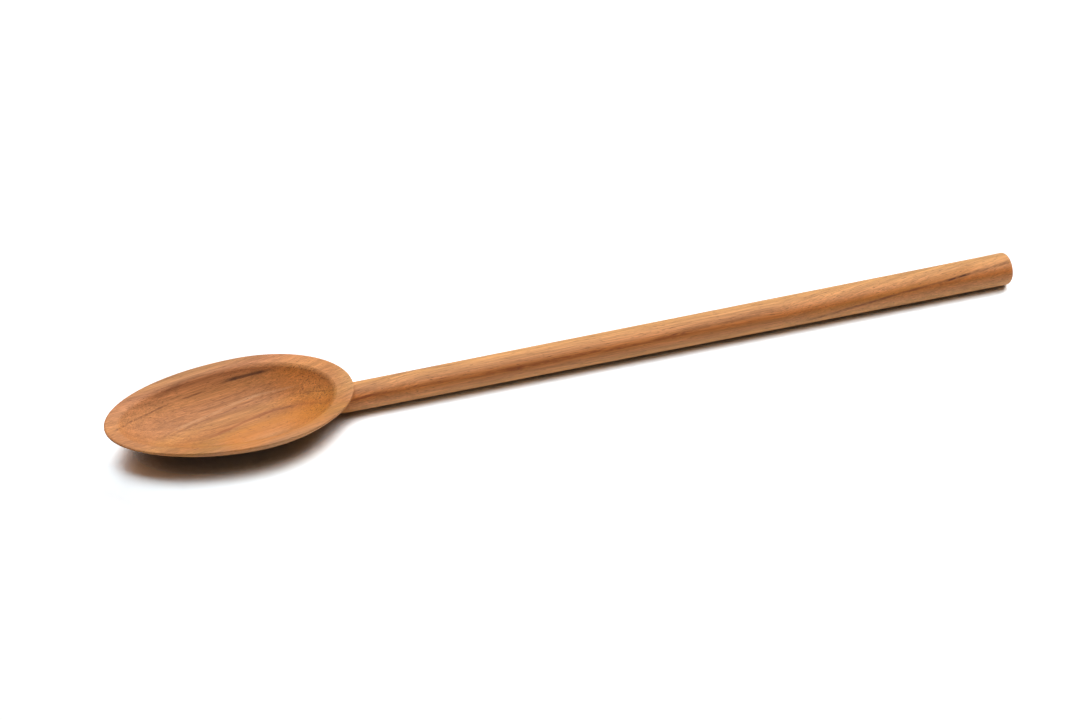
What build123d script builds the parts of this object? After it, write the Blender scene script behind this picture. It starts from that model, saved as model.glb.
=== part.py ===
from build123d import *
import math
import os

# Wooden cooking spoon, carved from one piece of teak, lying on its belly with the hollow up.
# +X runs from the bowl's tip to the handle's free end, +Y across and +Z up. The origin is on
# the table, under the middle of the spoon's length. Millimetres, angles in degrees.

# Overall
spoon_length = 350.0

# Bowl outside, measured from its widest station
bowl_width = 48.6
bowl_tip_reach = 52.4
bowl_neck_reach = 38.6
rim_height = 14.2
rim_edge_height = 0.8
rim_edge_radius = 0.35

# Sloping band inside the rim
band_width_side = 4.7
band_width_tip = 5.4
band_width_neck = 7.0
band_slope = 10.0
crease_radius = 2.0

# Hollow
floor_thickness = 4.0
floor_radius = 40.0
wall_foot_share = 0.45

# Handle
handle_neck_diameter = 10.7
handle_end_diameter = 12.6
handle_end_rounding = 2.1
keel_lead = 1.5
keel_length = 27.5
neck_fillet = 0.8

# The hollow's cutter runs this far past the rim
overrun = 3.0

# Stations along the spoon
tip_x = -spoon_length / 2
end_x = spoon_length / 2
widest_x = tip_x + bowl_tip_reach
neck_x = widest_x + bowl_neck_reach

# Heights and radii that follow
half_width = bowl_width / 2
hollow_half_width = half_width - band_width_side
belly_height = rim_height - rim_edge_height
belly_radius = (half_width**2 + belly_height**2) / (2 * belly_height)
band_fall = math.tan(math.radians(band_slope))
crease_height = rim_height - band_width_side * band_fall
handle_neck_radius = handle_neck_diameter / 2
handle_end_radius = handle_end_diameter / 2


def egg_dish(section, section_width, tip_reach, neck_reach):
    """Turn a half section about the upright axis, then stretch its halves to their reaches."""
    tip_half = revolve(section, Axis.Z, revolution_arc=180)
    neck_half = mirror(tip_half, Plane.YZ)
    tip_half = scale(tip_half, by=(tip_reach / section_width, 1, 1)).fix()
    neck_half = scale(neck_half, by=(neck_reach / section_width, 1, 1)).fix()
    return Pos(widest_x, 0, 0) * (tip_half + neck_half)


def bowl_blank():
    """The bowl before it is hollowed: a round belly, a narrow edge and the sloping band."""
    belly_turn = math.degrees(math.asin(half_width / belly_radius))
    belly = CenterArc((0, belly_radius), belly_radius, -90, belly_turn)
    edge = Line(belly @ 1, (half_width, rim_height))
    band = Line(edge @ 1, (0, rim_height - half_width * band_fall))
    axis = Line(band @ 1, belly @ 0)
    section = make_face(Curve() + [belly, edge, band, axis])
    rim_corner = section.vertices().sort_by(Axis.X)[-2:].sort_by(Axis.Y)[-1]
    section = fillet(rim_corner, rim_edge_radius)
    return egg_dish(Plane.YZ * section, half_width, bowl_tip_reach, bowl_neck_reach)


def hollow_cutter():
    """The space inside the bowl: a shallow floor that turns up into a steeper wall."""
    foot_angle = math.asin(hollow_half_width * wall_foot_share / floor_radius)
    floor_turn = math.degrees(foot_angle)
    floor = CenterArc((0, floor_thickness + floor_radius), floor_radius, -90, floor_turn)
    foot = floor @ 1
    inward = Vector(-math.sin(foot_angle), math.cos(foot_angle))
    chord = Vector(hollow_half_width, crease_height) - foot
    wall_radius = chord.dot(chord) / (2 * chord.dot(inward))
    wall = CenterArc(foot + inward * wall_radius, wall_radius, floor_turn - 90, 90 - floor_turn)
    mouth = Line(wall @ 1, wall @ 1 + Vector(0, overrun))
    top = Line(mouth @ 1, (0, (mouth @ 1).Y))
    axis = Line(top @ 1, floor @ 0)
    section = make_face(Curve() + [floor, wall, mouth, top, axis])
    tip_reach = bowl_tip_reach - band_width_tip
    neck_reach = bowl_neck_reach - band_width_neck
    return egg_dish(Plane.YZ * section, hollow_half_width, tip_reach, neck_reach)


def handle():
    """The tapered round handle, with its keel that runs out under the bowl."""
    start_x = neck_x + keel_lead
    keel = EllipticalCenterArc(
        (start_x, 0), keel_length, handle_neck_radius, start_angle=90, arc_size=90
    )
    side = Line(keel @ 0, (end_x - handle_end_rounding, handle_end_radius))
    rounding = TangentArc(
        side @ 1, (end_x, handle_end_radius - handle_end_rounding), tangent=side % 1
    )
    end_face = Line(rounding @ 1, (end_x, 0))
    axis = Line(end_face @ 1, keel @ 1)
    section = Plane.XZ * make_face(Curve() + [keel, side, rounding, end_face, axis])
    return Pos(0, 0, handle_end_radius) * revolve(section, Axis.X)


def spoon():
    """Bowl and handle as one piece of wood, hollowed, with its edges eased."""
    bowl = bowl_blank()
    stick = handle()
    blank = bowl + stick
    blank = fillet(new_edges(bowl, stick, combined=blank), neck_fillet)
    cutter = hollow_cutter()
    hollowed = blank - cutter
    return fillet(new_edges(blank, cutter, combined=hollowed), crease_radius)


solid = spoon()
print("spoon volume", solid.volume, "box", solid.bounding_box())
os.makedirs("parts", exist_ok=True)
export_step(solid, "parts/spoon.step")
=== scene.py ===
import math
import bpy
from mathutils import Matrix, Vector

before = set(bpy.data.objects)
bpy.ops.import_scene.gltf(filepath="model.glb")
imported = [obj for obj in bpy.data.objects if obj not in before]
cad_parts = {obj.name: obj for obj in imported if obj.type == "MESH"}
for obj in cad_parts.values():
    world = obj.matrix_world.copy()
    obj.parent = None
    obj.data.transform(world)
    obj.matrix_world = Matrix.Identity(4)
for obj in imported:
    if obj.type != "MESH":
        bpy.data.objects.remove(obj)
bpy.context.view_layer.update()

# Camera, at the photograph's angle. Metres and degrees, with the lens and sensor in millimetres.
camera_azimuth = -16.38
camera_elevation = 42.0
camera_distance = 1.0
camera_target = Vector((-0.01114, 0.00666, 0))
camera_lens = 89.03
sensor_width = 36.0

# Light: a softbox overhead and a little light from all round. Metres, degrees and watts.
white = (1.0, 1.0, 1.0, 1.0)
world_strength = 0.03
softbox_distance = 1.8
softbox_size = 2.6
softbox_back_lean = 22.0
softbox_side_lean = 14.0
softbox_power = 70.0

# Floor, in metres. Its paint is white. The camera and reflections see it just white in the open
# and brighter in a shadow's soft edge, as in an over-exposed photograph. The open share is how
# much of the sky a point of the floor sees.
floor_size = 12.0
floor_exposure = (0.94, 0.94, 0.94)
floor_open_share = 0.96
shadow_exposure = (1.95, 2.2, 2.35)
shadow_open_share = 0.6

# Contact shade: its reach, its brightness, and the open shares where it is full and where it ends
contact_reach = 0.03
contact_shade = 0.17
contact_closed_share = 0.31
contact_open_share = 0.55
contact_samples = 16

# Under the handle the contact shade is narrower: where along the spoon that starts and is full, and
# how much more open a point counts there
handle_shade_start = -0.115
handle_shade_full = -0.075
handle_shade_share = 0.11

# Away from the spoon the floor is seen plain white: how far off that starts and is full
far_start = 0.25
far_full = 0.6
far_strength = 1.0

# Grain. From here on places and sizes are in millimetres, from the spoon's own origin. Growth
# layers are counted across the spoon, and a millimetre up counts as this many across.
millimetres_per_metre = 1000.0
layer_rise = 1.5

# The fibres run straight between these two places, and drift sideways by this slope beyond them
bowl_fibres_end = -60.0
end_fibres_start = 80.0
fibre_slope = 0.17

# The bowl's wood by growth layer, from its near underside to its far rim
bowl_lowest_layer = 0.0
bowl_highest_layer = 70.0
bowl_shares_and_colours = (
    (0.22, (0.52, 0.25, 0.10)),
    (0.28, (0.48, 0.21, 0.09)),
    (0.34, (0.44, 0.19, 0.05)),
    (0.40, (0.47, 0.18, 0.05)),
    (0.46, (0.53, 0.23, 0.07)),
    (0.52, (0.49, 0.20, 0.07)),
    (0.64, (0.53, 0.21, 0.07)),
    (0.70, (0.61, 0.25, 0.08)),
    (0.82, (0.63, 0.26, 0.10)),
    (0.88, (0.54, 0.21, 0.08)),
    (0.94, (0.52, 0.23, 0.08)),
)

# The handle's colour, from its near underside to its far top, and where it takes over at the neck.
# It is teak with painted shade, darker along the middle of its front side, and painted light,
# lighter along its lower edge.
handle_lowest_layer = 0.0
handle_highest_layer = 20.0
handle_shares_and_colours_with_painted_light = (
    (0.00, (0.65, 0.32, 0.12)),
    (0.25, (0.62, 0.24, 0.08)),
    (0.35, (0.53, 0.19, 0.05)),
    (0.45, (0.58, 0.18, 0.04)),
    (0.55, (0.72, 0.26, 0.08)),
    (0.65, (0.74, 0.31, 0.12)),
    (0.85, (0.70, 0.32, 0.11)),
    (1.00, (0.59, 0.29, 0.10)),
)
handle_wood_start = -92.0
handle_wood_full = -82.0

# Warmer wood in the bowl's neck end, with painted light that brightens the hollow's wall there:
# where it starts and is full, the heights between which the hollow's floor turns into its wall and
# the wall into the rim, and the tint of each
warm_start = -118.0
warm_full = -101.0
wall_heights = (6.5, 9.5)
rim_heights = (11.6, 13.2)
floor_tint = (1.13, 0.94, 0.54)
wall_warmth_and_painted_light = (1.29, 1.16, 0.84)
rim_tint = (1.10, 1.08, 0.95)

# Growth lines, and bands of painted shade drawn the same way: start and end along the spoon, layer
# at each, half width, strength, share of the line that is there only in flecks, colour
dark_brown = (0.15, 0.050, 0.020)
red_brown = (0.27, 0.065, 0.016)
dark_red = (0.15, 0.026, 0.008)
near_black = (0.022, 0.018, 0.016)
orange = (0.64, 0.225, 0.034)
gold = (0.62, 0.24, 0.045)
pale = (0.68, 0.35, 0.16)
growth_and_painted_shade_lines = {
    "orange_band": (-139.0, -92.0, 20.6, 23.6, 5.4, 0.6, 0.2, orange),
    "red_line": (-143.0, -107.0, 25.8, 29.3, 1.0, 0.6, 0.6, red_brown),
    "red_line_end": (-117.0, -93.0, 29.3, 27.5, 0.8, 0.65, 0.8, dark_brown),
    "neck_line": (-105.0, -89.0, 34.8, 33.0, 0.7, 0.75, 0.6, dark_brown),
    "pale_line": (-155.0, -112.0, 35.2, 40.0, 1.2, 0.5, 0.9, pale),
    "pale_line_end": (-133.0, -100.0, 39.8, 39.6, 1.0, 0.4, 0.9, pale),
    "pale_line_edge": (-156.0, -106.0, 33.5, 38.6, 0.7, 0.45, 0.9, dark_brown),
    "pale_line_crack": (-158.0, -147.0, 34.2, 35.6, 0.7, 0.85, 0.4, dark_brown),
    "middle_line": (-140.0, -104.0, 43.5, 45.0, 0.7, 0.4, 0.8, dark_brown),
    "tip_line": (-178.0, -130.0, 48.2, 52.4, 0.8, 0.65, 0.85, dark_brown),
    "mineral_streak": (-132.0, -108.0, 54.3, 53.3, 1.5, 1.0, 0.3, near_black),
    "mineral_shade": (-143.0, -101.0, 54.4, 53.4, 3.6, 0.12, 0.6, dark_brown),
    "far_patch": (-158.0, -139.0, 57.0, 61.5, 3.0, 0.55, 0.7, dark_brown),
    "neck_spot": (-90.0, -71.0, 23.1, 22.9, 1.3, 0.75, 0.4, dark_red),
    # Painted shade at the neck, where the handle meets the bowl under its rim
    "painted_neck_shade": (-93.0, -68.0, 29.6, 27.4, 4.0, 0.32, 0.3, dark_brown),
    "neck_streak": (-82.0, -40.0, 30.6, 28.8, 0.7, 0.5, 0.7, dark_brown),
    "handle_flecks": (-84.0, -16.0, 22.4, 18.8, 2.6, 0.45, 1.0, red_brown),
    "handle_streak": (-38.0, 48.0, 18.9, 19.9, 2.5, 0.65, 0.85, red_brown),
    # Dark flecks, and painted shade along the handle's upper front side
    "handle_shade": (34.0, 86.0, 21.6, 24.2, 2.8, 0.4, 0.7, dark_brown),
    "end_gold": (86.0, 165.0, 13.0, 12.6, 3.4, 0.35, 0.3, gold),
    "end_streak": (86.0, 182.0, 10.4, 9.6, 1.2, 0.65, 0.7, dark_brown),
    "end_crack": (142.0, 163.0, 9.7, 9.6, 0.6, 0.85, 0.8, near_black),
}
line_fade = 9.0
line_core_share = 0.25

# Noises: length of the grains along the fibres, across the layers and within a layer; detail; seed
layer_noise = ((60.0, 24.0, 24.0), 2.0, 3.0)
line_noise = ((14.0, 6.0, 6.0), 2.0, 31.0)
fleck_noise = ((3.0, 0.7, 0.9), 2.0, 21.0)
cluster_noise = ((12.0, 3.0, 3.0), 1.0, 25.0)
wide_noise = ((70.0, 3.2, 3.2), 2.0, 11.0)
streak_noise = ((24.0, 0.75, 0.9), 3.0, 5.0)
fine_noise = ((9.0, 0.32, 0.36), 2.0, 8.0)
pore_noise = ((3.0, 0.36, 0.40), 1.0, 41.0)
dot_noise = ((1.2, 0.8, 0.9), 1.0, 51.0)

# Noise values below which a mark is absent and above which it is full. Flecks show only in
# clusters.
fleck_limits = (0.30, 0.56)
cluster_limits = (0.36, 0.56)
pore_limits = (0.62, 0.72)
dot_limits = (0.56, 0.66)

# How far layers and growth lines stray to either side
layer_waver = 2.0
line_waver = 0.9

# Noise values that count as low and as high, and the brightness of the wide bands, the streaks and
# the fine fibres at each
tone_limits = (0.3, 0.7)
wide_tones = (0.86, 1.12)
streak_tones = (1.10, 0.86)
fine_tones = (1.16, 0.80)

# Open pores along the fibres
pore_colour = dark_brown
pore_strength = 0.8

# Dots where the fibres are cut: how far a surface faces the tip where they begin and where they
# are full, and their strength between clusters and in them
dot_start = 0.15
dot_full = 0.45
dot_strengths = (0.3, 0.8)

# End grain: how far a surface faces along the spoon where it begins and where it is full
end_grain_start = 0.6
end_grain_full = 0.95
end_grain_tint = (0.84, 0.74, 0.66)

# Oiled surface. The relief's height is in metres.
least_roughness = 0.50
most_roughness = 0.62
specular_level = 0.28
relief_strength = 0.35
relief_height = 0.00006
fibre_relief_share = 0.4


class Graph:
    """Adds nodes to one shader tree. A value is a number, a colour or another node's socket."""

    def __init__(self, tree):
        self.tree = tree

    def add(self, kind, inputs=(), **settings):
        """A node with its settings, and its inputs by name or by place."""
        node = self.tree.nodes.new(kind)
        for name, value in settings.items():
            setattr(node, name, value)
        for key, value in dict(inputs).items():
            self.feed(node.inputs[key], value)
        return node

    def feed(self, socket, value):
        if isinstance(value, bpy.types.NodeSocket):
            self.tree.links.new(value, socket)
        else:
            socket.default_value = value

    def place(self):
        """Where a point of the surface is, in metres."""
        return self.add("ShaderNodeTexCoord").outputs["Object"]

    def point(self, x, y, z):
        return self.add("ShaderNodeCombineXYZ", {"X": x, "Y": y, "Z": z}).outputs[0]

    def split(self, vector):
        return self.add("ShaderNodeSeparateXYZ", {0: vector}).outputs

    def math(self, operation, *values):
        return self.add("ShaderNodeMath", enumerate(values), operation=operation).outputs[0]

    def smooth(self, value, low, high, start=0.0, end=1.0):
        """Goes smoothly from start to end while value goes from low to high."""
        inputs = {"Value": value, "From Min": low, "From Max": high, "To Min": start, "To Max": end}
        node = self.add("ShaderNodeMapRange", inputs, interpolation_type="SMOOTHSTEP")
        return node.outputs["Result"]

    def noise(self, place, lengths, detail, seed):
        """Noise from 0 to 1, with grains of the given lengths along each axis."""
        scale = [1 / length for length in lengths]
        scaled = self.add("ShaderNodeVectorMath", {0: place, 1: scale}, operation="MULTIPLY")
        inputs = {"Vector": scaled.outputs[0], "W": seed, "Scale": 1.0, "Detail": detail}
        return self.add("ShaderNodeTexNoise", inputs, noise_dimensions="4D").outputs["Fac"]

    def waver(self, value, noise, reach):
        """The value, moved up or down by as much as reach where the noise is high or low."""
        lowest = self.math("SUBTRACT", value, reach)
        return self.math("MULTIPLY_ADD", noise, 2 * reach, lowest)

    def mix(self, amount, first, second, blend="MIX"):
        """First colour where amount is 0, and second where it is 1."""
        node = self.add("ShaderNodeMix", data_type="RGBA", blend_type=blend)
        self.feed(node.inputs["Factor"], amount)
        sockets = [socket for socket in node.inputs if socket.type == "RGBA"]
        for socket, colour in zip(sockets, (first, second)):
            self.feed(socket, colour if isinstance(colour, bpy.types.NodeSocket) else (*colour, 1))
        return next(socket for socket in node.outputs if socket.type == "RGBA")

    def multiply(self, colour, tint):
        return self.mix(1.0, colour, tint, "MULTIPLY")

    def darken(self, colour, brightness):
        return self.multiply(colour, self.point(brightness, brightness, brightness))

    def mix_shader(self, amount, first, second):
        """First shader where amount is 0, and second where it is 1."""
        inputs = {0: amount, 1: first.outputs[0], 2: second.outputs[0]}
        return self.add("ShaderNodeMixShader", inputs)

    def show(self, shader):
        """Makes the shader the material's surface."""
        self.add("ShaderNodeOutputMaterial", {"Surface": shader.outputs[0]})


def new_graph(name):
    """A material with an empty shader tree, and the graph that fills it."""
    material = bpy.data.materials.new(name)
    material.use_nodes = True
    material.node_tree.nodes.clear()
    return material, Graph(material.node_tree)


def make_camera():
    """The camera looks at its target from the photograph's side."""
    azimuth = math.radians(camera_azimuth)
    elevation = math.radians(camera_elevation)
    level = math.cos(elevation)
    back = Vector((math.sin(azimuth) * level, -math.cos(azimuth) * level, math.sin(elevation)))
    data = bpy.data.cameras.new("camera")
    data.sensor_width = sensor_width
    data.lens = camera_lens
    camera = bpy.data.objects.new("camera", data)
    camera.location = camera_target + back * camera_distance
    camera.rotation_euler = (-back).to_track_quat("-Z", "Y").to_euler()
    bpy.context.scene.collection.objects.link(camera)
    bpy.context.scene.camera = camera


def make_world():
    """A little light from all round."""
    world = bpy.data.worlds.new("studio")
    world.use_nodes = True
    background = world.node_tree.nodes["Background"]
    background.inputs["Color"].default_value = white
    background.inputs["Strength"].default_value = world_strength
    bpy.context.scene.world = world


def make_softbox():
    """A square lamp overhead that faces the spoon, leaning to the back and to the side."""
    data = bpy.data.lights.new("softbox", "AREA")
    data.shape = "SQUARE"
    data.size = softbox_size
    data.energy = softbox_power
    lamp = bpy.data.objects.new("softbox", data)
    sideways = math.tan(math.radians(softbox_side_lean))
    backwards = math.tan(math.radians(softbox_back_lean))
    direction = Vector((sideways, backwards, 1)).normalized()
    lamp.location = direction * softbox_distance
    lamp.rotation_euler = direction.to_track_quat("Z", "Y").to_euler()
    bpy.context.scene.collection.objects.link(lamp)


def near_floor_colour(graph):
    """Just white in the open, over-exposed in a shadow's soft edge and dark at the contact."""
    reach = {"Distance": contact_reach}
    occlusion = graph.add("ShaderNodeAmbientOcclusion", reach, samples=contact_samples)
    open_share = occlusion.outputs["AO"]
    along = graph.split(graph.place())["X"]
    lift = graph.smooth(along, handle_shade_start, handle_shade_full, 0.0, handle_shade_share)
    lifted = graph.math("ADD", open_share, lift)
    shade = graph.smooth(lifted, contact_closed_share, contact_open_share, contact_shade, 1.0)
    shadow = graph.darken(shadow_exposure, shade)
    in_open = graph.smooth(open_share, shadow_open_share, floor_open_share)
    return graph.mix(in_open, shadow, floor_exposure)


def seen_floor(graph):
    """The floor as the camera and reflections see it."""
    near = graph.add("ShaderNodeBsdfDiffuse", {"Color": near_floor_colour(graph)})
    plain_white = graph.add("ShaderNodeEmission", {"Strength": far_strength})
    inputs = {0: graph.place()}
    distance = graph.add("ShaderNodeVectorMath", inputs, operation="LENGTH").outputs["Value"]
    return graph.mix_shader(graph.smooth(distance, far_start, far_full), near, plain_white)


def floor_paint():
    """White paint, which the camera and reflections see as the photograph shows it."""
    material, graph = new_graph("floor")
    paint = graph.add("ShaderNodeBsdfDiffuse", {"Color": white})
    seen = seen_floor(graph)
    rays = graph.add("ShaderNodeLightPath").outputs
    mirrored = graph.math("MAXIMUM", rays["Is Glossy Ray"], rays["Is Transmission Ray"])
    direct = graph.math("MAXIMUM", rays["Is Camera Ray"], mirrored)
    graph.show(graph.mix_shader(direct, paint, seen))
    return material


def make_floor():
    """A square floor at the spoon's underside."""
    half = floor_size / 2
    corners = [(-half, -half, 0), (half, -half, 0), (half, half, 0), (-half, half, 0)]
    mesh = bpy.data.meshes.new("floor")
    mesh.from_pydata(corners, [], [(0, 1, 2, 3)])
    mesh.materials.append(floor_paint())
    floor = bpy.data.objects.new("floor", mesh)
    bpy.context.scene.collection.objects.link(floor)


def place_parts(graph):
    """Where a point of the spoon is, as X, Y and Z in millimetres."""
    inputs = {0: graph.place(), "Scale": millimetres_per_metre}
    return graph.split(graph.add("ShaderNodeVectorMath", inputs, operation="SCALE").outputs[0])


def growth_layer(graph, parts):
    """Place across the growth layers, and place within a layer."""
    bowl_drift = graph.math("MINIMUM", parts["X"], bowl_fibres_end)
    end_drift = graph.math("MAXIMUM", graph.math("SUBTRACT", parts["X"], end_fibres_start), 0.0)
    drift = graph.math("MULTIPLY", graph.math("ADD", bowl_drift, end_drift), fibre_slope)
    side = graph.math("SUBTRACT", parts["Y"], drift)
    layer = graph.math("MULTIPLY_ADD", parts["Z"], layer_rise, side)
    within = graph.math("MULTIPLY_ADD", side, -layer_rise, parts["Z"])
    return layer, within


def layer_colour(graph, layer, lowest, highest, shares_and_colours):
    """Colour by layer: the wood's own, and on the handle painted shade and light as well."""
    inputs = {"Value": layer, "From Min": lowest, "From Max": highest}
    share = graph.add("ShaderNodeMapRange", inputs).outputs["Result"]
    ramp = graph.add("ShaderNodeValToRGB", {"Fac": share})
    stops = ramp.color_ramp.elements
    while len(stops) < len(shares_and_colours):
        stops.new(1.0)
    for stop, (position, colour) in zip(stops, shares_and_colours):
        stop.position = position
        stop.color = (*colour, 1)
    return ramp.outputs["Color"]


def warm_and_brightened_neck_end(graph, colour, parts):
    """The wood is warmer in the bowl's neck end, most of all on the hollow's floor, and painted
    light brightens the wall there.
    """
    inward = graph.smooth(parts["X"], warm_start, warm_full)
    up_wall = graph.smooth(parts["Z"], *wall_heights)
    on_rim = graph.smooth(parts["Z"], *rim_heights)
    tint = graph.mix(on_rim, graph.mix(up_wall, floor_tint, wall_warmth_and_painted_light), rim_tint)
    return graph.mix(inward, colour, graph.multiply(colour, tint))


def wood_and_painted_light_colour(graph, parts, layer):
    """The bowl's wood, with painted light on its neck end's wall, which changes at the neck into
    the handle's wood with its painted shade and light.
    """
    bowl = layer_colour(
        graph, layer, bowl_lowest_layer, bowl_highest_layer, bowl_shares_and_colours
    )
    bowl = warm_and_brightened_neck_end(graph, bowl, parts)
    # Place across the handle, for its wood colour and its painted shade and light
    across_handle = graph.math("MULTIPLY_ADD", parts["Z"], layer_rise, parts["Y"])
    handle = layer_colour(
        graph, across_handle, handle_lowest_layer, handle_highest_layer, handle_shares_and_colours_with_painted_light
    )
    in_handle = graph.smooth(parts["X"], handle_wood_start, handle_wood_full)
    return graph.mix(in_handle, bowl, handle)


def fibre_tone(graph, wide, streak, fine):
    """Brightness of light and dark fibres: wide bands, streaks and fine ones."""
    wide_tone = graph.smooth(wide, *tone_limits, *wide_tones)
    streak_tone = graph.smooth(streak, *tone_limits, *streak_tones)
    fine_tone = graph.smooth(fine, *tone_limits, *fine_tones)
    return graph.math("MULTIPLY", graph.math("MULTIPLY", wide_tone, streak_tone), fine_tone)


def draw_growth_and_painted_shade_lines(graph, colour, along, layer, fleck):
    """Each growth line and band of painted shade over the wood, fading at its ends and sides and
    broken up into flecks.
    """
    for line in growth_and_painted_shade_lines.values():
        start, end, start_layer, end_layer, half_width, strength, breaks, line_colour = line
        centre = graph.smooth(along, start, end, start_layer, end_layer)
        off = graph.math("ABSOLUTE", graph.math("SUBTRACT", layer, centre))
        body = graph.smooth(off, half_width * line_core_share, half_width, strength, 0.0)
        begins = graph.smooth(along, start, start + line_fade)
        ends = graph.smooth(along, end - line_fade, end, 1.0, 0.0)
        whole = graph.math("MULTIPLY", graph.math("MULTIPLY", begins, ends), body)
        unbroken = graph.math("MULTIPLY_ADD", fleck, breaks, 1 - breaks)
        colour = graph.mix(graph.math("MULTIPLY", whole, unbroken), colour, line_colour)
    return colour


def cut_fibres(graph, colour, place, cluster):
    """Fibres cut across show their pores as dots in clusters, and end grain is darker.

    The fibres rise towards the neck, so surfaces that face the tip cut them most.
    """
    normal = graph.add("ShaderNodeNewGeometry").outputs["Normal"]
    lengthwise = graph.split(normal)["X"]
    cut = graph.smooth(graph.math("ABSOLUTE", lengthwise), end_grain_start, end_grain_full)
    slanted = graph.smooth(lengthwise, -dot_full, -dot_start, 1.0, 0.0)
    dot = graph.smooth(graph.noise(place, *dot_noise), *dot_limits)
    shown = graph.math("MULTIPLY", dot, graph.math("MAXIMUM", slanted, cut))
    strength = graph.smooth(cluster, 0.0, 1.0, *dot_strengths)
    dotted = graph.mix(graph.math("MULTIPLY", shown, strength), colour, pore_colour)
    return graph.mix(cut, dotted, graph.multiply(dotted, end_grain_tint))


def oiled_surface(graph, colour, streak, fine, pore):
    """The satin finish, with fine fibres raised a little and pores sunk."""
    relief = graph.math("SUBTRACT", graph.math("MULTIPLY", fine, fibre_relief_share), pore)
    inputs = {"Strength": relief_strength, "Distance": relief_height, "Height": relief}
    bump = graph.add("ShaderNodeBump", inputs)
    inputs = {
        "Base Color": colour,
        "Roughness": graph.smooth(streak, *tone_limits, least_roughness, most_roughness),
        "Specular IOR Level": specular_level,
        "Normal": bump.outputs[0],
    }
    return graph.add("ShaderNodeBsdfPrincipled", inputs)


def teak():
    """Oiled teak: growth layers, growth lines, fibres and open pores that run through the solid,
    with painted shade and light on the handle, painted shade at the neck and painted light on the
    wall of the bowl's neck end.
    """
    material, graph = new_graph("teak")
    parts = place_parts(graph)
    layer, within = growth_layer(graph, parts)
    place = graph.point(parts["X"], layer, within)

    wavered = graph.waver(layer, graph.noise(place, *layer_noise), layer_waver)
    colour = wood_and_painted_light_colour(graph, parts, wavered)
    wide = graph.noise(place, *wide_noise)
    streak = graph.noise(place, *streak_noise)
    fine = graph.noise(place, *fine_noise)
    colour = graph.darken(colour, fibre_tone(graph, wide, streak, fine))

    cluster = graph.smooth(graph.noise(place, *cluster_noise), *cluster_limits)
    fleck = graph.smooth(graph.noise(place, *fleck_noise), *fleck_limits)
    clustered_fleck = graph.math("MULTIPLY", fleck, cluster)
    rippled = graph.waver(layer, graph.noise(place, *line_noise), line_waver)
    colour = draw_growth_and_painted_shade_lines(graph, colour, parts["X"], rippled, clustered_fleck)

    pore = graph.smooth(graph.noise(place, *pore_noise), *pore_limits)
    colour = graph.mix(graph.math("MULTIPLY", pore, pore_strength), colour, pore_colour)
    colour = cut_fibres(graph, colour, place, cluster)
    graph.show(oiled_surface(graph, colour, streak, fine, pore))
    return material


make_camera()
make_floor()
make_world()
make_softbox()
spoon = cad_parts["spoon"]
spoon.data.materials.clear()
spoon.data.materials.append(teak())

bpy.context.scene.view_settings.view_transform = "Standard"
